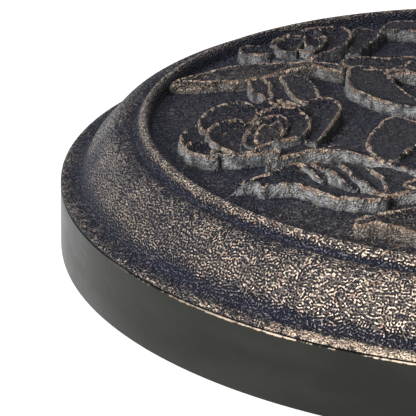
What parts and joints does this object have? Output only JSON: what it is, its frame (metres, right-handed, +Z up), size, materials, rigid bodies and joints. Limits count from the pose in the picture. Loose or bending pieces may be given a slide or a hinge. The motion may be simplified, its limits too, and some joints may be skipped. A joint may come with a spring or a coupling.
{
  "type": "garden parasol base",
  "caption": "Weighted round parasol base with a moulded rose relief, upright pole socket, clamp knob and reducer bush.",
  "frame": {"origin": "on the ground, at the middle of the feet's undersides, on the axis of the disc and of the pole socket", "axes": "+Z up along the pole; +X out along the clamp screw towards its knob; the front rose of the relief lies towards -X"},
  "size_m": [0.45, 0.45, 0.3501],
  "materials": {
    "bronze_cover": "wrinkle paint in dark bronze, ridges wiped with pale copper gold",
    "side_band": "smooth satin dark bronze paint",
    "concrete": "cast concrete",
    "tube_paint": "satin dark bronze powder coat",
    "zinc": "zinc plated",
    "knob_plastic": "fine grained black moulding",
    "nylon": "natural nylon",
    "rubber": "matt black rubber"
  },
  "bodies": {
    "base": {"relief_cover": "bronze_cover", "base_pan": "side_band", "weight_core": "concrete", "socket_tube": "tube_paint", "tube_flange": "tube_paint", "collar_cover": "bronze_cover", "tube_rim_cap": "knob_plastic", "clamp_boss": "tube_paint", "flange_bolt_1": "zinc", "flange_bolt_2": "zinc", "flange_bolt_3": "zinc", "flange_bolt_4": "zinc", "flange_washer_1": "zinc", "flange_washer_2": "zinc", "flange_washer_3": "zinc", "flange_washer_4": "zinc", "flange_nut_1": "zinc", "flange_nut_2": "zinc", "flange_nut_3": "zinc", "flange_nut_4": "zinc", "pan_screw_1": "zinc", "pan_screw_2": "zinc", "pan_screw_3": "zinc", "pan_screw_4": "zinc", "pan_screw_5": "zinc", "pan_screw_6": "zinc", "rubber_foot_1": "rubber", "rubber_foot_2": "rubber", "rubber_foot_3": "rubber", "rubber_foot_4": "rubber", "rubber_foot_5": "rubber", "rubber_foot_6": "rubber"},
    "clamp_pad": {"pressure_pad": "nylon"},
    "clamp_knob": {"knob_head": "knob_plastic", "clamp_stud": "zinc"},
    "bush": {"reducer_bush": "knob_plastic"}
  },
  "joints": [
    {"name": "clamp_feed", "type": "slide", "parent": "base", "child": "clamp_pad", "axis": [-1, 0, 0], "range_m": [0, 0.009]},
    {"name": "knob_turn", "type": "hinge", "parent": "clamp_pad", "child": "clamp_knob", "pos_m": [0.045, 0, 0.2618], "axis": [-1, 0, 0], "range_deg": [0, 2160]},
    {"name": "bush_lift", "type": "slide", "parent": "base", "child": "bush", "axis": [0, 0, 1], "range_m": [0, 0.075]}
  ],
  "couplings": [
    {"joint": "clamp_feed", "follows": "knob_turn", "m_per_rad": 0.0002387}
  ]
}
